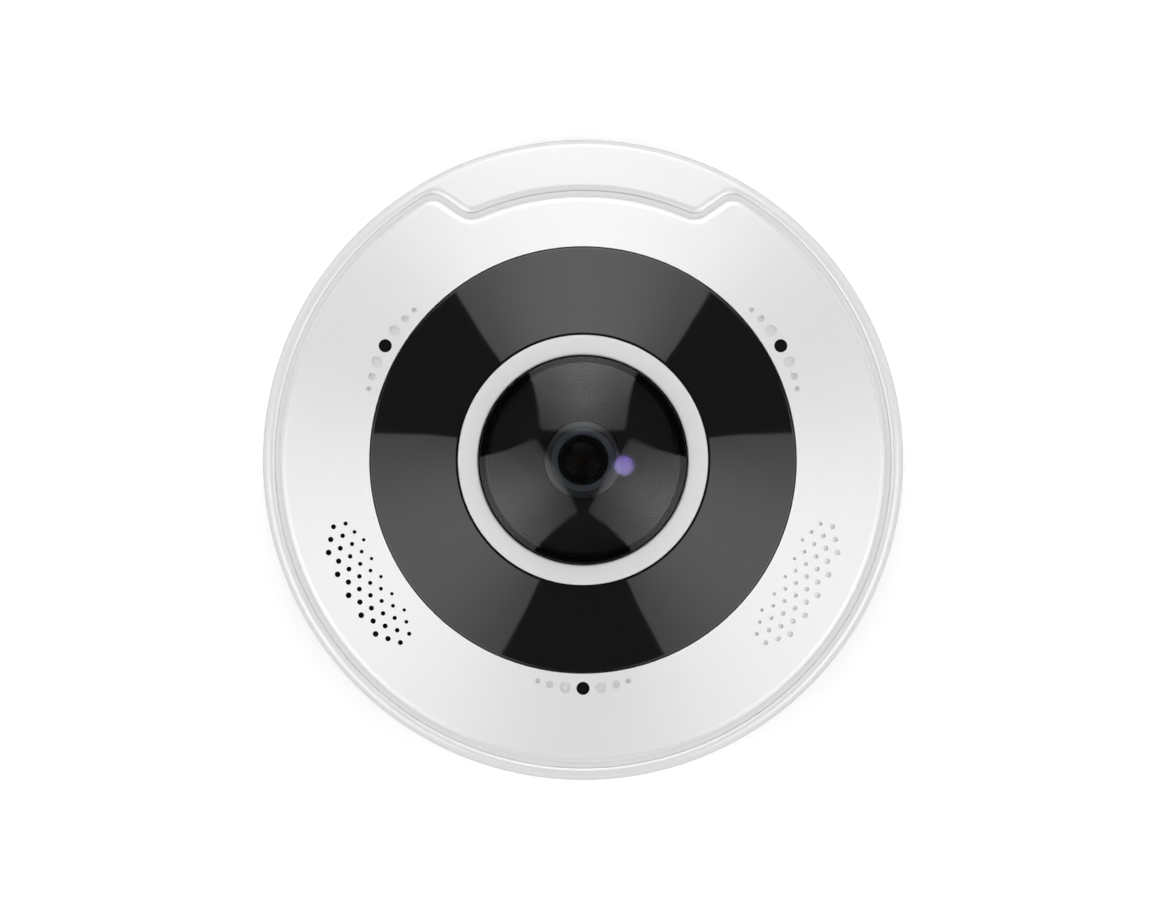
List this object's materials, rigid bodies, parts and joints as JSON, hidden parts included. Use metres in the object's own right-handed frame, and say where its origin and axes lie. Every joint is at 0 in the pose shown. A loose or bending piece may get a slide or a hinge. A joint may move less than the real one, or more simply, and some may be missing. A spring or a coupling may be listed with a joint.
{
  "type": "fisheye ip camera",
  "caption": "Round ceiling camera: twist-on plate, lift-off notched cover with grille and black window, clear dome over a fisheye lens, boards, speaker and filter changer inside.",
  "frame": {"origin": "centre of the mounting face, on the lens axis", "axes": "+Z along the lens axis, away from the ceiling; +Y towards the land in the cover's notch"},
  "size_m": [0.166, 0.166, 0.0684],
  "materials": {
    "white_paint": "satin white powder coat",
    "white_plastic": "satin white moulding",
    "black_window": "gloss black infrared window",
    "ring_grey": "fine matt light grey",
    "clear_dome": "clear hard-coated dome",
    "black_rubber": "matt",
    "zinc_steel": "zinc plated sheet",
    "screw_steel": "plated",
    "circuit_board": "solder mask",
    "board_white": "white solder mask",
    "chip_resin": "moulded resin",
    "grey_silicone": "soft pad",
    "connector_shell": "stamped shell",
    "green_plastic": "moulded",
    "capacitor_can": "drawn can",
    "black_plastic": "fine spark texture",
    "black_shroud": "semi-gloss black moulding",
    "sensor_glass": "cover glass",
    "flat_cable": "polyimide film",
    "lamp_resin": "lamp body",
    "clear_lens": "clear moulding",
    "black_anodised": "black anodised",
    "coated_glass": "coated optical glass",
    "brass": "turned",
    "magnet_nickel": "nickel plated",
    "black_mesh": "acoustic mesh",
    "card_black": "moulded",
    "cone_film": "formed film"
  },
  "bodies": {
    "mount": {"mounting_plate": "zinc_steel"},
    "camera": {"rear_housing": "white_paint", "bayonet_studs": "screw_steel", "lock_screw": "screw_steel", "cable_gland": "black_rubber", "case_seal": "black_rubber", "case_screws": "screw_steel", "main_board": "circuit_board", "board_screws": "screw_steel", "main_chip": "chip_resin", "thermal_pad": "grey_silicone", "memory_chips": "chip_resin", "ethernet_jack": "connector_shell", "terminal_block": "green_plastic", "power_transformer": "chip_resin", "capacitors": "capacitor_can", "card_slot": "connector_shell", "reset_switch": "black_plastic", "chassis": "black_plastic", "chassis_screws": "screw_steel", "sensor_board": "circuit_board", "sensor_screws": "screw_steel", "image_sensor": "sensor_glass", "sensor_cable": "flat_cable", "led_board": "board_white", "led_screws": "screw_steel", "ir_leds": "lamp_resin", "led_lenses": "clear_lens", "light_sensor": "chip_resin", "lens_holder": "black_plastic", "lens_barrel": "black_anodised", "front_element": "coated_glass", "lens_retainer": "black_anodised", "lens_elements": "coated_glass", "focus_ring": "brass", "lens_shroud": "black_shroud", "filter_motor": "black_plastic", "speaker_basket": "black_plastic", "speaker_magnet": "magnet_nickel", "speaker_gasket": "black_rubber", "microphone_boots": "black_rubber", "microphones": "capacitor_can"},
    "front": {"front_shell": "white_plastic", "ir_window": "black_window", "window_seal": "black_rubber", "dome": "clear_dome", "dome_ring": "ring_grey", "dome_seal": "black_rubber", "window_carrier": "black_plastic", "window_screws": "screw_steel", "grille_mesh": "black_mesh"},
    "card": {"memory_card": "card_black"},
    "button": {"reset_button": "black_plastic"},
    "filter": {"filter_tray": "black_plastic", "filter_glasses": "coated_glass"},
    "arm": {"filter_arm": "black_plastic"},
    "cone": {"speaker_cone": "cone_film"}
  },
  "joints": [
    {"name": "camera_twist", "type": "hinge", "parent": "mount", "child": "camera", "pos_m": [0, 0, 0.006], "axis": [0, 0, 1], "range_deg": [0, 18]},
    {"name": "front_lift", "type": "slide", "parent": "camera", "child": "front", "axis": [0, 0, 1], "range_m": [0, 0.06]},
    {"name": "card_slide", "type": "slide", "parent": "camera", "child": "card", "axis": [1, 0, 0], "range_m": [0, 0.012]},
    {"name": "button_press", "type": "slide", "parent": "camera", "child": "button", "axis": [0, 0, -1], "range_m": [0, 0.0004], "stiffness_N_per_m": 900},
    {"name": "arm_swing", "type": "hinge", "parent": "camera", "child": "arm", "pos_m": [0, 0.0162, 0.0415], "axis": [0, 0, 1], "range_deg": [0, 83.62]},
    {"name": "filter_slide", "type": "slide", "parent": "camera", "child": "filter", "axis": [1, 0, 0], "range_m": [0, 0.008]},
    {"name": "cone_move", "type": "slide", "parent": "camera", "child": "cone", "axis": [0, 0, 1], "range_m": [-0.0005, 0.0005], "stiffness_N_per_m": 800}
  ],
  "couplings": [
    {"joint": "arm_swing", "follows": "filter_slide", "rad_per_m": 182.43}
  ]
}
